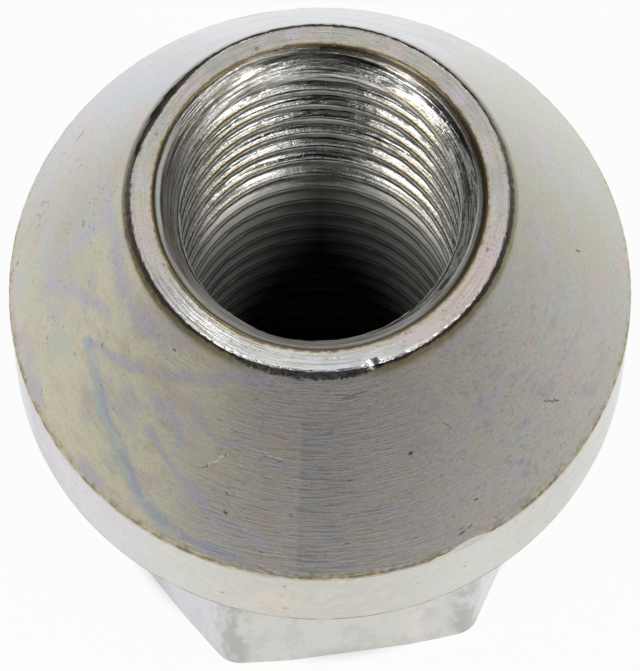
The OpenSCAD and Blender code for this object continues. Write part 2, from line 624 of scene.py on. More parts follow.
# The seat unrolled: distance round it at its mean radius, and distance down its slant
SEAT_MEAN_RADIUS = (RIM_RADIUS + FACE_RADIUS) / 2
SEAT_SLANT = (TOP - RIM_Z) / math.sin(SEAT_SLOPE)


def on_seat(bearing, share):
    """A place on the unrolled seat, in millimetres, from a bearing in degrees and a share of the slant."""
    return (math.radians(bearing) * SEAT_MEAN_RADIUS, share * SEAT_SLANT, 0.0)


def streak(places, route, half_width, core):
    """A streak over the unrolled seat: 1 along the legs of a route, out to a core's share of half its
    width, and 0 at half its width from the nearest leg."""
    distances = []
    stops = [on_seat(*stop) for stop in route]
    for start, end in zip(stops, stops[1:]):
        leg = [b - a for a, b in zip(start, end)]
        length_squared = sum(value * value for value in leg)
        offset = places.vector("SUBTRACT", start)
        share = offset.vector("DOT_PRODUCT", [value / length_squared for value in leg], out="Value")
        share = share.node("ShaderNodeClamp", {}, {0: share})
        step = share.node("ShaderNodeVectorMath", {"operation": "SCALE"}, {0: leg, "Scale": share})
        distances.append(offset.vector("DISTANCE", step, out="Value"))
    return reduce(Shade.least, distances).rise(half_width, half_width * core)


def streaks(places, routes, core, widen=1.0):
    """The strongest of several streaks, each from half a width, which may be widened, and a route."""
    return reduce(Shade.most, [streak(places, route, half * widen, core) for half, route in routes])


# Film streaks on the seat: half a width and a route of bearings and shares of the slant
LILAC_STREAKS = (
    (0.50, ((-88.7, 0.21), (-88.5, 0.386), (-87.4, 0.565), (-84.7, 0.655))),
    (0.50, ((-83.6, 0.682), (-78.8, 0.513), (-72.1, 0.398), (-65.6, 0.327))),
    (
        0.75,
        ((-94, 0.17), (-86, 0.155), (-79, 0.152), (-72, 0.155), (-66, 0.18), (-60, 0.175), (-53, 0.158)),
    ),
    (0.42, ((-64, 0.50), (-58, 0.44), (-49, 0.34), (-41, 0.265), (-33, 0.195), (-25, 0.11), (-15, 0.08))),
    (0.32, ((-40.5, 0.55), (-36, 0.61), (-31, 0.66), (-22.5, 0.76), (-16, 0.79), (-11.5, 0.845))),
    (0.30, ((-39.3, 0.38), (-36.3, 0.44), (-32, 0.535))),
    (0.28, ((-32, 0.36), (-27, 0.40), (-23, 0.42), (-20.4, 0.39))),
    (0.8, ((-73, 0.92), (-69, 0.95))),
    (0.6, ((-49, 0.95), (-46, 0.965))),
    (0.5, ((-44.4, 0.40), (-40.5, 0.43))),
    (1.3, ((-150, 0.86), (-128, 0.90))),
)
BLUE_ROUTE = (
    (-64.5, 0.505), (-60, 0.54), (-57, 0.58), (-50.5, 0.665), (-43.5, 0.74), (-39.5, 0.805), (-35, 0.88),
    (-30.5, 0.925), (-24, 0.935), (-15, 0.94),
)
BLUE_STREAKS = ((0.42, BLUE_ROUTE),)
AQUA_STREAKS = (
    (
        0.30,
        ((-66.5, 0.52), (-62, 0.545), (-59, 0.59), (-52, 0.68), (-46, 0.745), (-41.5, 0.81), (-37, 0.885)),
    ),
    (0.20, ((-28.5, 0.39), (-25.5, 0.41))),
    (0.20, ((-35, 0.47), (-33.5, 0.51))),
)
# Scratches and pits on the seat, written the same way
DARK_MARKS = (
    (0.07, ((-26.2, 0.580), (-25.0, 0.552))),
    (0.14, ((-25.2, 0.558), (-24.0, 0.536), (-23.2, 0.506), (-22.0, 0.480))),
    (0.05, ((-22.0, 0.480), (-20.7, 0.448))),
    (0.06, ((3.9, 0.108), (8.4, 0.120), (13.3, 0.113))),
    (0.05, ((6.0, 0.128), (10.0, 0.126))),
    (0.05, ((15.2, 0.129), (19.9, 0.133))),
    (0.06, ((-121, 0.72), (-119, 0.745))),
    (0.06, ((88.6, 0.53), (89.2, 0.56))),
    (0.04, ((-11.0, 0.966), (-7.8, 0.99))),
    (0.035, ((-13.1, 0.424), (-8.6, 0.441))),
    (0.035, ((-13.1, 0.527), (-10.1, 0.531))),
    (0.06, ((-20.0, 0.645), (-19.2, 0.655))),
    (0.05, ((-16.6, 0.580), (-16.1, 0.573))),
    (0.05, ((-11.4, 0.888), (-10.8, 0.889))),
    (0.05, ((-49.7, 0.152), (-49.3, 0.154))),
    (0.05, ((54.8, 0.651), (55.3, 0.676), (55.9, 0.674), (56.4, 0.700), (57.0, 0.698), (57.6, 0.724))),
    (0.04, ((30.5, 0.383), (31.2, 0.40), (31.9, 0.429))),
    (0.05, ((4.6, 0.828), (5.5, 0.826))),
    (0.05, ((6.2, 0.524), (7.3, 0.520))),
    (0.05, ((27.0, 0.908), (27.8, 0.905))),
)
PITS = (
    (0.11, ((21.0, 0.461), (21.3, 0.461))),
    (0.07, ((-19.5, 0.743), (-19.0, 0.746))),
    (0.06, ((31.8, 0.812), (32.2, 0.812))),
    (0.055, ((-43.7, 0.150), (-43.1, 0.152))),
    (0.05, ((-61.7, 0.438), (-61.3, 0.452))),
    (0.05, ((26.9, 0.931), (27.8, 0.926))),
    (0.05, ((28.9, 0.920), (29.5, 0.917))),
)
BRIGHT_MARKS = (
    (0.09, ((-25.0, 0.552), (-24.0, 0.532), (-23.2, 0.502), (-22.4, 0.486))),
    (0.06, ((-13.0, 0.411), (-8.8, 0.428))),
    (0.05, ((-10.8, 0.953), (-8.0, 0.977))),
    (0.035, ((-13.0, 0.515), (-10.3, 0.520))),
)

# Colours round each part of the nut: a bearing and a colour of the finish
# On the seat's back, sky and mist are film colour with a painted sheen: the bluer look of the film at a
# grazing angle
SEAT_TINTS = (
    (-180, "sky"), (-160, "sky"), (-136, "mist"), (-114, "silver"), (-96, "sand"), (-72, "straw"),
    (-36, "straw"), (-14, "pewter"), (30, "pewter"), (60, "silver"), (90, "sand"), (114, "sage"),
    (136, "sage"), (160, "sky"), (180, "sky"),
)
FACE_TINTS = (
    (-180, "cream"), (-120, "cream"), (-95, "sand"), (-60, "cream"), (-35, "sky"), (22, "sky"),
    (46, "rose"), (70, "rose"), (95, "cream"), (180, "cream"),
)
COLLAR_TINTS = (
    (-180, "mist"), (-90, "mist"), (-66, "plum"), (-48, "mauve"), (-28, "cream"), (-12, "putty"),
    (6, "putty"), (28, "cream"), (42, "putty"), (68, "stone"), (90, "mist"), (180, "mist"),
)
HEX_TINTS = (
    (-180, "mist"), (-60, "mauve"), (-24, "mauve"), (-20, "cream"), (34, "cream"), (40, "frost"),
    (60, "mist"), (180, "mist"),
)
# Colours of the end face's cuts, from deep to high
CUT_TINTS = (
    (0.33, "brown"), (0.37, "gold"), (0.41, "sand"), (0.45, "chalk"), (0.62, "chalk"), (0.68, "rose"),
)


def wavy(places, scale, reach):
    """Places pushed about by noise, for wavy and frayed borders."""
    push = places.node("ShaderNodeTexNoise", {}, {"Vector": places, "Scale": scale, "Detail": 3.0}, "Color")
    push = push.vector("SUBTRACT", (0.5, 0.5, 0.5))
    return push.vector("MULTIPLY_ADD", (reach, reach, 0.0), places)


def blunt_sector(nut):
    """1 on the near side, where the edge of the end face is rough and grey, and 0 further round."""
    return (nut.bearing + 4.0).size().rise(25, 13)


def seat_film(nut, round_seat, down_seat):
    """Film colours of the seat: tints that change round it, clouds, a mottled right side and streaks."""
    nut.base(0.10, SEAT_TINTS)
    side = nut.bearing.size().rise(15, 45)
    shifted = nut.place.vector("ADD", (40.0, 0.0, 0.0))
    nut.coat(side * nut.noise(0.35, 4.0, 0.55).rise(0.52, 0.66) * 0.6, "lilac")
    clouds = nut.joined(round_seat * 0.5 + 20.0, down_seat * 1.1).noise(1.0, 5.0, 0.65, 0.4)
    nut.coat(nut.bearing.band(-48, 40) * clouds.rise(0.48, 0.62) * 0.55, "tan")
    nut.coat(nut.bearing.band(-42, 34) * clouds.rise(0.46, 0.34) * 0.5, "lilac")
    blush = shifted.noise(0.45, 4.0, 0.6) + 0.14 * nut.bearing.band(-45, 32) * nut.share.rise(0.42, 0.1)
    nut.coat(side * blush.rise(0.52, 0.66) * 0.6, "rose")
    nut.coat(side * shifted.noise(0.30, 3.0, 0.55).rise(0.46, 0.34) * 0.4, "aqua")

    flow = nut.joined(round_seat * 1.8 + down_seat * 0.9, down_seat * 3.6 - round_seat * 0.8)
    mottle = flow.noise(1.0, 5.0, 0.7, 0.6)
    right = nut.bearing.band(48, 52)
    broad = nut.joined(round_seat * 0.5, down_seat * 0.9 - round_seat * 0.25)
    broad = broad.noise(1.0, 5.0, 0.65, 0.5)
    nut.coat(right * broad.rise(0.50, 0.62) * 0.45, "tan")
    nut.coat(right * broad.rise(0.47, 0.36) * 0.4, "slate")
    nut.coat(right * mottle.rise(0.50, 0.62) * 0.65, "tan")
    nut.coat(right * mottle.rise(0.46, 0.35) * 0.4, "slate")
    squiggle = (nut.noise(1.9, 3.0, 0.6) - 0.5).size().rise(0.016, 0.006)
    squiggle = squiggle * nut.noise(1.2, 3.0, 0.6).rise(0.53, 0.60)
    nut.coat(right * squiggle * 0.6, "olive")
    front = nut.bearing.size().rise(36, 12)
    bands = nut.joined(round_seat * 0.35, down_seat * 1.5).noise(1.0, 5.0, 0.62)
    nut.coat(front * bands.rise(0.50, 0.64) * 0.55, "tan")
    nut.coat(front * bands.rise(0.48, 0.34) * 0.45, "blue")

    soft = wavy(nut.joined(round_seat, down_seat), 0.7, 0.9)
    soft = wavy(soft, 3.0, 0.25)
    patchy = 0.45 + 0.55 * nut.noise(0.8, 3.0).rise(0.38, 0.55)
    nut.coat(streaks(soft, LILAC_STREAKS, 0.1, 1.3) * patchy * 0.9, "lilac")
    nut.coat(streaks(soft, BLUE_STREAKS, 0.1, 1.3) * patchy * 0.95, "blue")
    violet = nut.bearing.band(-20, 17) * nut.share.band(0.90, 0.16) * clouds.rise(0.60, 0.44)
    nut.coat(violet * 0.6, "blue")
    nut.coat(streaks(soft, AQUA_STREAKS, 0.1, 1.2) * 0.8, "aqua")
    grains = nut.noise(5.0, 3.0, 0.7)
    nut.coat(grains.rise(0.52, 0.68) * 0.18, "smoke")
    nut.coat(grains.rise(0.48, 0.34) * 0.14, "chalk")


def seat_plating(finish):
    """Plating of the conical seat: film colours, turning lines, pits, scratches and burnt borders."""
    nut = Plating("seat_plating", finish)
    nut.turn(0.5)
    round_seat = nut.bearing * (math.radians(1) * SEAT_MEAN_RADIUS)
    down_seat = nut.share * SEAT_SLANT
    seat_film(nut, round_seat, down_seat)

    # Turning lines in front, and the dark sector that starts at a sharp line beside the near side, which is
    # a painted reflection of a border in the studio
    front = nut.bearing.size().rise(34, 10)
    lines = nut.joined(round_seat * 0.6, down_seat * 7.0).noise(1.0, 4.0, 0.7, 0.5)
    patches = nut.noise(0.9, 3.0).rise(0.40, 0.60)
    nut.coat(front * lines.rise(0.55, 0.63) * (0.35 + 0.65 * patches) * 0.8, "slate")
    # Painted reflection: a dark slate sector that starts at a sharp line just right of the near side
    painted_dark_reflection = (nut.bearing + 1.2 * (lines - 0.5)).rise(-4.9, -3.9) * nut.bearing.rise(18, 0)
    painted_dark_reflection = painted_dark_reflection * nut.share.rise(0.10, 0.30) * (0.2 + 0.5 * lines.rise(0.46, 0.60))
    nut.coat(painted_dark_reflection, "slate")
    warm = nut.bearing.band(-11, 8) * nut.share.rise(0.15, 0.35) * patches
    nut.coat(warm * (1.0 - painted_dark_reflection) * 0.4, "tan")

    # Pits and scratches
    unrolled = nut.joined(round_seat, down_seat)
    frayed = wavy(unrolled, 4.0, 0.22)
    flecks = nut.noise(3.6, 3.0, 0.6, 1.0).rise(0.60, 0.70)
    flecks = flecks * nut.noise(0.5, 2.0).rise(0.44, 0.58)
    pits = nut.place.cells(1.2).rise(0.07, 0.03) * nut.noise(0.6, 3.0).rise(0.50, 0.60)
    dark = streaks(frayed, DARK_MARKS, 0.3).most(pits * 0.8)
    nut.coat(flecks * 0.5, "smoke")
    nut.coat(flecks * nut.bearing.band(-100, 36) * 0.5, "soot")
    nut.coat(dark * 0.62, "soot")
    chipped = 0.35 + 0.65 * nut.noise(7.0, 3.0, 0.6).rise(0.42, 0.54)
    nut.coat(streaks(frayed, BRIGHT_MARKS, 0.3) * chipped * 0.85, "chalk")
    nut.coat(streaks(wavy(unrolled, 9.0, 0.10), PITS, 0.5) * 0.8, "soot")

    # Burnt film below the end face and along the rim, and bare metal where the rim was pressed
    ragged = nut.share + 0.024 * (nut.noise(1.6, 4.0, 0.6) - 0.5)
    near = blunt_sector(nut)
    coarse = nut.noise(5.0, 4.0, 0.7)
    nut.coat(ragged.rise(0.085, 0.025) * (1.0 - near) * 0.7, "gold")
    burnt = (near * coarse.rise(0.40, 0.58)).pick(finish.ink, finish.graphite)
    flank = nut.bearing.size().band(88, 62)
    left = nut.bearing.band(-78, 58)
    scorched = ragged - 0.010 * near + (0.02 + 0.03 * near + 0.03 * left) * (coarse - 0.5)
    scorched = (scorched + 0.008 * (1.0 - near) - 0.014 * flank).rise(0.036, 0.022)
    fringe = (ragged + 0.03 * (coarse - 0.5) - 0.012 * flank).rise(0.058, 0.036) * (1.0 - near)
    nut.coat(fringe * 0.65, "olive")
    nut.coat(fringe * left * coarse.rise(0.36, 0.52), "brown")
    nut.coat(scorched * 0.95, burnt)
    torn = nut.share + 0.02 * (nut.noise(3.0, 4.0, 0.65) - 0.5)
    broken = 0.45 + 0.5 * nut.noise(1.1, 3.0).rise(0.40, 0.58)
    singed = nut.noise(2.2, 3.0, 0.6).rise(0.36, 0.54).pick(finish.gold, finish.brown)
    fuzz = nut.noise(4.0, 4.0, 0.7).rise(0.42, 0.58).pick(finish.olive, finish.tan)
    nut.coat(torn.rise(0.955, 0.985) * broken * 0.75, fuzz)
    nut.coat(torn.rise(0.982, 0.994) * broken * 0.7, singed)
    seat_radius = FACE_RADIUS + down_seat * math.cos(SEAT_SLOPE)
    sunken = (seat_radius - nut.radius) * nut.share.rise(0.9, 0.93)
    sunken = sunken * nut.bearing.band(PRESSED_BEARING, 9).rise(0.0, 0.1)
    pressed = sunken.rise(0.012, 0.03)
    nut.coat(sunken.band(0.012, 0.012) * 0.7, "olive")
    nut.coat(pressed * 0.9, "silver")
    nut.coat(pressed * (0.25 + 0.3 * coarse.rise(0.40, 0.58)), "chalk")

    grain = nut.noise(6.0, 3.0, 0.6)
    rough = 0.21 + 0.10 * (grain - 0.5) + 0.2 * dark + 0.1 * pressed
    bent = (lines * (0.12 + 0.88 * front)).bump(0.012)
    bent = grain.bump(0.005, bent)
    bent = (1.0 - dark).bump(0.006, bent)
    return nut.connect(roughness=rough, normal=bent)


def end_face_plating(finish):
    """Plating of the end face and its round edge: concentric cuts, film in patches and a blackened edge,
    with painted highlights on the cuts and the edge in front.
    """
    nut = Plating("end_face_plating", finish)
    nut.turn(0.3)
    cuts = nut.joined(nut.radius * 7.0, nut.x * 0.15, nut.y * 0.15).noise(1.0, 4.0, 0.65)
    patch = nut.noise(0.55, 4.0, 0.6)
    shifted = nut.place.vector("ADD", (30.0, 0.0, 0.0))
    nut.base(0.06, FACE_TINTS)
    nut.coat(patch.rise(0.46, 0.60) * nut.bearing.size().rise(8, 35) * 0.75, "rose")
    nut.coat(shifted.noise(0.6, 4.0, 0.6).rise(0.50, 0.62) * 0.6, "sand")
    nut.coat(shifted.noise(0.9, 3.0, 0.6).rise(0.54, 0.66) * 0.6, "lilac")
    rough_cut = nut.bearing.band(-32, 48)
    nut.coat(cuts.rise(0.48, 0.36) * 0.3, "smoke")
    # Cut lines on the near left: brown and gold film in the cuts, with painted highlights where the chalk
    # lines catch the left lamp
    lines = cuts.ramp([(place, nut.tint(name)) for place, name in CUT_TINTS])
    nut.coat(rough_cut * 0.9, lines)
    flecks = nut.noise(3.4, 3.0, 0.6)
    strewn = nut.noise(0.8, 2.0).rise(0.46, 0.60)
    nut.coat(flecks.rise(0.60, 0.67) * strewn * 0.6, "rust")
    nut.coat(flecks.rise(0.39, 0.31) * strewn * 0.6, "brown")

    ragged = nut.radius + 0.16 * (nut.noise(1.9, 4.0, 0.65) - 0.5)
    chewed = nut.radius + 0.30 * (nut.noise(2.6, 4.0, 0.7) - 0.5)
    mouth = chewed.rise(MOUTH_RADIUS + 0.20 + 0.08 * rough_cut, MOUTH_RADIUS + 0.04)
    nut.coat(mouth * 0.8, "gold")
    mouth = chewed.rise(MOUTH_RADIUS + 0.11 + 0.08 * rough_cut, MOUTH_RADIUS + 0.02)
    nut.coat(mouth * 0.9, "brown")
    stained = nut.bearing.band(-122, 30) * 0.20 + nut.bearing.size().rise(90, 140) * 0.10
    torn = nut.bearing.band(-30, 24).most(nut.bearing.band(24, 16))
    torn = torn * nut.noise(1.6, 3.0, 0.6).rise(0.42, 0.52)
    edge = (ragged + stained).rise(FACE_RADIUS - 0.05, FACE_RADIUS + 0.02)
    near = blunt_sector(nut)
    nut.coat(edge * 0.94, near.pick(finish.ink, finish.graphite))
    # Painted highlights: chalk just inside the end face's edge on both sides of the near side, where the
    # round edge catches the lamps
    burr = torn * ragged.rise(FACE_RADIUS - 0.20, FACE_RADIUS - 0.10)
    nut.coat(burr, "chalk")
    grain = nut.noise(7.0, 3.0, 0.6)
    scuffs = nut.joined(nut.radius * 11.0, nut.x * 1.3, nut.y * 1.3).noise(1.0, 4.0, 0.7)
    clear = (1.0 - edge.most(mouth)) * (1.0 - rough_cut)
    nut.coat(scuffs.rise(0.54, 0.68) * clear * 0.28, "smoke")
    nut.coat(scuffs.rise(0.45, 0.32) * clear * 0.4, "chalk")
    chip = nut.bearing.band(15.3, 1.6) * nut.radius.rise(FACE_RADIUS - 0.34, FACE_RADIUS - 0.22)
    nut.coat(chip, "chalk")
    rough = 0.22 + 0.14 * (grain - 0.5) + 0.10 * edge
    bent = (cuts * (0.15 + 0.85 * nut.bearing.band(-40, 34))).bump(0.12)
    bent = grain.bump(0.010, bent)
    bent = (flecks * edge).bump(0.06, bent)
    return nut.connect(roughness=rough, normal=bent)


def collar_plating(finish):
    """Plating of the collar: pale, in soft patches, with specks, nicks and a burnt line at the rim."""
    nut = Plating("collar_plating", finish)
    nut.turn(0.3)
    nut.base(0.05, COLLAR_TINTS)
    soft = nut.noise(0.8, 4.0, 0.6)
    nut.coat(soft.rise(0.48, 0.68) * 0.35, "sand")
    nut.coat(soft.rise(0.50, 0.30) * 0.3, "silver")
    warm = nut.bearing.band(-9, 13) * nut.z.band(RIM_Z - 3.4, 2.6)
    warm = warm * nut.noise(0.6, 3.0).rise(0.44, 0.56)
    nut.coat(warm * 0.5, "peach")
    fine = nut.noise(3.0, 4.0, 0.6)
    nut.coat(fine.rise(0.54, 0.68) * 0.22, "smoke")
    flecks = fine.rise(0.66, 0.72) * nut.noise(0.6, 2.0).rise(0.48, 0.60)
    pits = nut.place.cells(0.9).rise(0.08, 0.03) * nut.noise(0.7, 3.0).rise(0.50, 0.58)
    specks = (flecks * 0.6).most(pits)
    nut.coat(specks * 0.8, "soot")
    ragged = nut.z + 0.22 * (nut.noise(3.0, 4.0, 0.65) - 0.5)
    broken = nut.noise(1.1, 3.0).rise(0.40, 0.58)
    unpressed = (nut.bearing - PRESSED_BEARING).size().rise(4, 8)
    burnt = ragged.rise(RIM_Z - 0.26, RIM_Z - 0.08) * (0.3 + 0.4 * broken) * unpressed
    nut.coat(burnt, "olive")
    foot = nut.z.rise(HEX_HEIGHT + 0.42, HEX_HEIGHT + 0.26)
    nut.coat(foot * (0.25 + 0.5 * broken), "brown")
    lines = nut.stretched(0.5, 0.5, 5.0).noise(1.0, 3.0, 0.6)
    rough = 0.17 + 0.06 * (fine - 0.5) + 0.2 * specks
    bent = lines.bump(0.006)
    bent = (1.0 - specks).bump(0.012, bent)
    return nut.connect(roughness=rough, normal=bent)


def hex_plating(finish):
    """Plating of the hex: a lilac flat, a cream one and a pale blue one, with grey rubbed corners."""
    nut = Plating("hex_plating", finish)
    nut.base(0.0, HEX_TINTS)
    smudge = nut.stretched(1.0, 1.0, 0.35).noise(1.0, 5.0, 0.65)
    corner = nut.radius.rise(HEX_CORNER - 0.50, HEX_CORNER - 0.12)
    rubbed = (corner * smudge.rise(0.38, 0.56)).most(smudge.rise(0.56, 0.74) * 0.4)
    rubbed = rubbed.most(nut.z.rise(13.0, 4.0) * smudge.rise(0.48, 0.62) * 0.3)
    nut.coat(rubbed * 0.85, "smoke")
    glow = nut.bearing.band(26, 7)
    nut.coat(glow * smudge.rise(0.52, 0.44) * 0.5, "rose")
    fine = nut.noise(3.5, 4.0, 0.6)
    nut.coat(fine.rise(0.55, 0.72) * 0.25, "smoke")
    # A dark line at the joint with the collar, which is also painted shade on the hex under the collar's
    # overhang
    nut.coat(nut.z.rise(HEX_HEIGHT - 0.22, HEX_HEIGHT - 0.04) * 0.7, "brown")
    rough = 0.24 + 0.1 * (fine - 0.5)
    bent = fine.bump(0.012)
    bent = smudge.bump(0.03, bent)
    return nut.connect(roughness=rough, normal=bent)


def thread_steel(finish):
    """Metal of the thread: bright flanks with cut lines and beaded lips near the mouth, dull further in,
    with painted light and painted shade deep in the bore.
    """
    nut = Plating("thread_steel", finish)
    depth = TOP - nut.z
    turned = nut.bearing.size()
    shallow = depth.rise(17.0, 8.0)
    cuts = nut.joined(nut.radius * 9.0, nut.x * 0.2, nut.y * 0.2 + nut.z * 0.7).noise(1.0, 4.0, 0.7)
    specks = nut.stretched(1.0, 1.0, 1.5).noise(6.5, 4.0, 0.65)
    # Painted light: deep in the bore the steel is painted paler, standing in for light reflected between
    # the walls
    nut.colour = depth.rise(13.0, 19.0).pick(finish.steel, finish.chalk)
    nut.coat(cuts.rise(0.50, 0.44) * (0.15 + 0.8 * shallow), "graphite")
    nut.coat(cuts.rise(0.46, 0.41) * shallow, "soot")
    nut.coat(specks.rise(0.58, 0.66) * shallow * 0.7, "chalk")
    nut.coat(specks.rise(0.42, 0.34) * shallow * 0.7, "brown")
    tears = nut.joined(nut.z * 5.5, nut.x * 0.45, nut.y * 0.45).noise(1.0, 4.0, 0.75)
    first = depth.rise(9.0, 4.0)
    nut.coat(tears.rise(0.46, 0.40) * first * 0.8, "soot")
    # Painted shade: the left wall of the thread near the mouth is painted darker
    nut.coat(nut.bearing.band(-104, 34) * shallow * 0.4, "graphite")
    lip = nut.radius.rise(BORE_RADIUS + 0.24, BORE_RADIUS + 0.10)
    frayed = nut.radius + 0.10 * (specks - 0.5)
    golden = turned.band(140, 32) * shallow
    nut.coat(frayed.rise(BORE_RADIUS + 0.26, BORE_RADIUS + 0.18) * golden * 0.9, "tan")
    nut.coat(frayed.rise(BORE_RADIUS + 0.16, BORE_RADIUS + 0.11) * golden, "brown")
    run_out = depth.band(MOUTH_DEPTH + 0.7, 1.1) * turned.band(98, 34)
    nut.coat(run_out * (0.5 + 0.5 * specks.rise(0.44, 0.56)), "smoke")
    # Painted shade: dark lines at each crest's edge and across the flank, where the turn above shades it
    painted_crest_shade = nut.radius.band(BORE_RADIUS + 0.08, 0.05)
    painted_crest_shade = painted_crest_shade.most(nut.radius.band(BORE_RADIUS + 0.42, 0.05) * shallow)
    painted_crest_shade = painted_crest_shade * depth.rise(MOUTH_DEPTH, MOUTH_DEPTH + 0.4)
    nut.coat(painted_crest_shade * 0.9, "soot")
    crest = nut.radius.rise(BORE_RADIUS + 0.05, BORE_RADIUS + 0.03)
    nut.coat(crest * (0.4 + 0.6 * specks.rise(0.40, 0.52)), "silver")

    # The countersink: fine dark rings, a burnt edge and a pale line, which lies deeper on the right; chalk
    # on its far side is a painted highlight and paler silver on its near side is painted light
    sunk = (nut.radius + depth - MOUTH_RADIUS).rise(0.08, 0.02)
    sunk = sunk * depth.rise(MOUTH_DEPTH + 0.05, MOUTH_DEPTH - 0.05)
    rings = nut.joined(depth * 11.0, nut.x * 0.3, nut.y * 0.3).noise(1.0, 4.0, 0.75)
    back = turned.rise(30, 100)
    right = nut.bearing.rise(15, 60)
    cut = rings.rise(0.42, 0.58).pick(finish.graphite, finish.steel)
    cut = (rings.rise(0.52, 0.46) * rings.rise(0.40, 0.46) * 0.6).pick(cut, finish.gold)
    far = turned.rise(100, 135)
    border = (depth - 0.24 - 0.36 * right).size()
    border = border.rise(0.14 + 0.16 * right, 0.06 + 0.10 * right) * (1.0 - far)
    border = border.most(depth.rise(MOUTH_DEPTH - 0.18, MOUTH_DEPTH - 0.10) * (1.0 - 0.5 * far))
    cut = (border * rings.rise(0.40, 0.50)).pick(cut, finish.chalk)
    # Painted highlight: chalk rings on the far side of the countersink, where the lamps are reflected
    cut = (far * rings.rise(0.46, 0.56)).pick(cut, finish.chalk)
    # Painted light: the near side of the countersink is painted paler silver
    cut = ((1.0 - back) * 0.3).pick(cut, finish.silver)
    burnt = (depth + 0.12 * (specks - 0.5)).rise(0.14 + 0.14 * right, 0.06 + 0.09 * right)
    cut = (burnt * 0.85).pick(cut, finish.brown)
    cut = (burnt * right * depth.rise(0.02, 0.10) * 0.7).pick(cut, finish.ink)
    nut.coat(sunk, cut)
    # Painted shade: the thread goes dark deep in the bore, soonest on the far side, which the camera sees
    # deepest
    bore_shade_mask = (depth + 0.2 * (turned - 162.0)).rise(13.5, 25.0)
    nut.coat(bore_shade_mask, "depths")
    rough = 0.10 + 0.12 * (specks - 0.5) + 0.46 * depth.rise(8.5, 16.0) + 0.1 * sunk
    bent = (specks * shallow * (0.35 + 0.65 * lip)).bump(0.035)
    bent = (cuts * (0.25 + 0.75 * shallow)).bump(0.02, bent)
    bent = (tears * first).bump(0.022, bent)
    bent = (rings * sunk).bump(0.04, bent)
    metal = 1.0 - 0.7 * crest - 0.7 * sunk * border.most(1.0 - back) - 0.35 * run_out * (1.0 - sunk)
    return nut.connect(roughness=rough, metallic=metal, normal=bent)


class LUGNUT_OT_nut(bpy.types.Operator):
    """Builds the nut with its thread, wear and plating, in place of the plain solid"""

    bl_idname = "lugnut.nut"
    bl_label = "Build the nut"

    def execute(self, context):
        sizes = context.scene.lugnut_sizes
        finish = context.scene.lugnut_finish
        points, quads, triangles, numbers = nut_surface(sizes)
        piece = make_mesh("plated_nut", points, quads, triangles)
        makers = (end_face_plating, seat_plating, collar_plating, hex_plating, thread_steel)
        for maker in makers:
            piece.data.materials.append(maker(finish))
        piece.data.polygons.foreach_set("material_index", numbers.astype(np.int32))
        piece.data.polygons.foreach_set("use_smooth", np.ones(len(numbers), bool))
        piece.data.set_sharp_from_angle(angle=SHARP_ANGLE)
        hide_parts(NODE)
        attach(piece, "root")
        return {"FINISHED"}


# Studio
FLOOR_RADIUS = 2.0
FLOOR_RINGS = 24
FLOOR_SPOKES = 64
FLOOR_DROP = 0.00002
# Brightness of the floor by its distance from the nut, as a share of the reach, which is in millimetres
FADE_REACH = 260.0
FLOOR_FADE = (
    (0.0, 1.0), (0.115, 1.0), (0.14, 0.92), (0.165, 0.83), (0.195, 0.735), (0.24, 0.66), (0.38, 0.535),
    (0.5, 0.425), (0.65, 0.305), (0.85, 0.20), (1.0, 0.165),
)
# Distances between which the floor goes from black under the nut to lit, and the lit part's share
UNDER_NUT = (9.0, 11.0)
FLOOR_GLOW = 0.95
# Brightness of the sky by the sine of its elevation
SKY = ((0.0, 0.22), (0.38, 0.22), (0.5, 0.16), (0.65, 0.22), (0.78, 0.45), (0.92, 0.82), (1.0, 0.85))
# The dark place in the sky above the camera: elevation, cosines at its border and inside, and strength
DARK_ELEVATION = 50
DARK_BORDER = (0.78, 0.95)
DARK_SHARE = 0.85
BLACK = (0.0, 0.0, 0.0)
LAMP_DISTANCE = 0.5
# Azimuth to either side of the camera, elevation, width and height of each pair of lamps
LAMP_PAIRS = {"softbox": (54, 47, 0.26, 0.12), "fill": (44, 20, 0.12, 0.11)}


def stage_direction(azimuth, elevation):
    """Unit vector from the nut towards an azimuth and an elevation: azimuth 0 is -Y and 90 is +X."""
    turn = math.radians(azimuth)
    lift = math.radians(elevation)
    return Vector((math.sin(turn) * math.cos(lift), -math.cos(turn) * math.cos(lift), math.sin(lift)))


def floor_material(stage):
    """A pale floor, white to the camera and in reflections near the nut and fading with distance."""
    material = bpy.data.materials.new("floor")
    material.use_nodes = True
    tree = material.node_tree
    shader = tree.nodes["Principled BSDF"]
    shader.inputs["Roughness"].default_value = 1.0
    start = Shade(tree)
    rays = ("Is Camera Ray", "Is Glossy Ray", "Is Transmission Ray")
    path = [start.node("ShaderNodeLightPath", {}, {}, ray) for ray in rays]
    seen = reduce(Shade.most, path)
    place = start.node("ShaderNodeTexCoord", {}, {}, "Object")
    distance = place.vector("LENGTH", out="Value") / MM
    fade = (distance / FADE_REACH).greys(FLOOR_FADE)
    lit = distance.rise(*UNDER_NUT).pick(BLACK, fade)
    glow = start.node("ShaderNodeEmission", {}, {"Color": lit})
    multiply = {"data_type": "RGBA", "blend_type": "MULTIPLY"}
    paint = start.node("ShaderNodeMix", multiply, {0: 1.0, 6: fade, 7: colour_of(stage.floor)}, 2)
    tree.links.new(paint.socket, shader.inputs["Base Color"])
    matt = Shade(tree, shader.outputs[0])
    mixed = start.node("ShaderNodeMixShader", {}, {0: seen * FLOOR_GLOW, 1: matt, 2: glow})
    tree.links.new(mixed.socket, tree.nodes["Material Output"].inputs["Surface"])
    return material


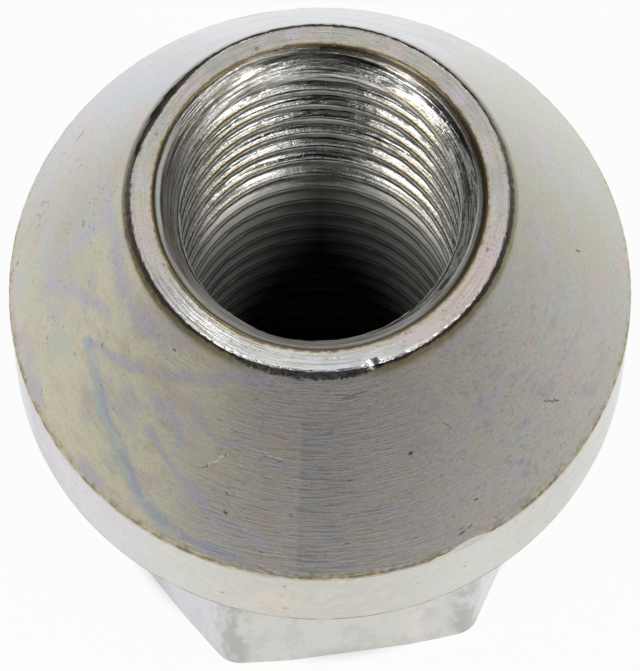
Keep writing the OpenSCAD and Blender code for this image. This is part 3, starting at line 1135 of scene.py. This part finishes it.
def floor_surface():
    """A flat disc: rings of points whose radius grows as the cube of the ring's share."""
    shape = (FLOOR_RINGS, FLOOR_SPOKES)
    rings = np.linspace(0.05, 1, FLOOR_RINGS) ** 3 * FLOOR_RADIUS / MM
    angle = np.linspace(0, 2 * np.pi, FLOOR_SPOKES, endpoint=False)
    points = ring_points(rings[:, None], np.full(shape, -FLOOR_DROP / MM), angle)
    index = np.arange(FLOOR_RINGS * FLOOR_SPOKES).reshape(shape)
    beside = np.roll(index, -1, 1)
    quads = faces_between(index, beside)
    centre = np.array([[0, 0, -FLOOR_DROP / MM]])
    hub = np.stack([np.full(FLOOR_SPOKES, index.size), index[0], beside[0]], -1)
    return np.concatenate([points.reshape(-1, 3), centre]), quads, hub


def light_world():
    """A soft sky: dim at the horizon and towards the camera, brighter overhead."""
    world = bpy.data.worlds.new("studio")
    bpy.context.scene.world = world
    world.use_nodes = True
    tree = world.node_tree
    start = Shade(tree)
    way = start.node("ShaderNodeTexCoord", {}, {}, "Generated")
    lift = start.node("ShaderNodeSeparateXYZ", {}, {0: way}, 2)
    sky = lift.greys(SKY)
    front = tuple(stage_direction(CAMERA_AZIMUTH, DARK_ELEVATION))
    dark = way.vector("DOT_PRODUCT", front, out="Value").rise(*DARK_BORDER)
    colour = (dark * DARK_SHARE).pick(sky, BLACK)
    back = tree.nodes["Background"]
    tree.links.new(colour.socket, back.inputs["Color"])


def add_lamp(name, azimuth, elevation, width, height, power):
    """A rectangular lamp that looks at the nut, with a power for each square metre."""
    data = bpy.data.lights.new(name, "AREA")
    data.shape = "RECTANGLE"
    data.size = width
    data.size_y = height
    data.energy = power * width * height
    lamp = bpy.data.objects.new(name, data)
    back = stage_direction(azimuth, elevation)
    lamp.location = back * LAMP_DISTANCE + Vector((0, 0, TOP * MM / 2))
    lamp.rotation_euler = back.to_track_quat("Z", "Y").to_euler()
    bpy.context.scene.collection.objects.link(lamp)


def add_camera(stage):
    """The camera at the photograph's angle."""
    data = bpy.data.cameras.new("camera")
    data.lens = stage.lens
    camera = bpy.data.objects.new("camera", data)
    back = stage_direction(CAMERA_AZIMUTH, math.degrees(stage.elevation))
    camera.location = back * stage.distance + Vector((0, 0, stage.target_height))
    camera.rotation_euler = back.to_track_quat("Z", "Y").to_euler()
    bpy.context.scene.collection.objects.link(camera)
    bpy.context.scene.camera = camera


class LUGNUT_OT_stage(bpy.types.Operator):
    """Lays the floor, hangs the lights and sets the camera at the photograph's angle"""

    bl_idname = "lugnut.stage"
    bl_label = "Set the stage"

    def execute(self, context):
        stage = context.scene.lugnut_stage
        floor = make_mesh("floor", *floor_surface())
        floor.data.materials.append(floor_material(stage))
        light_world()
        for name, (spread, *rest) in LAMP_PAIRS.items():
            add_lamp(name + "_left", CAMERA_AZIMUTH - spread, *rest, stage.lamp_power)
            add_lamp(name + "_right", CAMERA_AZIMUTH + spread, *rest, stage.lamp_power)
        add_camera(stage)
        context.scene.view_settings.view_transform = "Standard"
        return {"FINISHED"}


class LUGNUT_PT_sidebar(bpy.types.Panel):
    """The nut's pieces and settings"""

    bl_label = "Lug Nut"
    bl_space_type = "VIEW_3D"
    bl_region_type = "UI"
    bl_category = "Lug Nut"

    def draw(self, context):
        for operator in (LUGNUT_OT_nut, LUGNUT_OT_stage):
            self.layout.operator(operator.bl_idname)
        for group in (context.scene.lugnut_sizes, context.scene.lugnut_finish, context.scene.lugnut_stage):
            box = self.layout.box()
            for name in group.__annotations__:
                box.prop(group, name)


CLASSES = (NutSizes, NutFinish, NutStage, LUGNUT_OT_nut, LUGNUT_OT_stage, LUGNUT_PT_sidebar)


def register():
    for item in CLASSES:
        bpy.utils.register_class(item)
    bpy.types.Scene.lugnut_sizes = bpy.props.PointerProperty(type=NutSizes)
    bpy.types.Scene.lugnut_finish = bpy.props.PointerProperty(type=NutFinish)
    bpy.types.Scene.lugnut_stage = bpy.props.PointerProperty(type=NutStage)


def unregister():
    del bpy.types.Scene.lugnut_sizes
    del bpy.types.Scene.lugnut_finish
    del bpy.types.Scene.lugnut_stage
    for item in reversed(CLASSES):
        bpy.utils.unregister_class(item)


def main():
    """Builds the nut and its stage."""
    register()
    bpy.ops.lugnut.nut()
    bpy.ops.lugnut.stage()


if __name__ == "__main__":
    main()
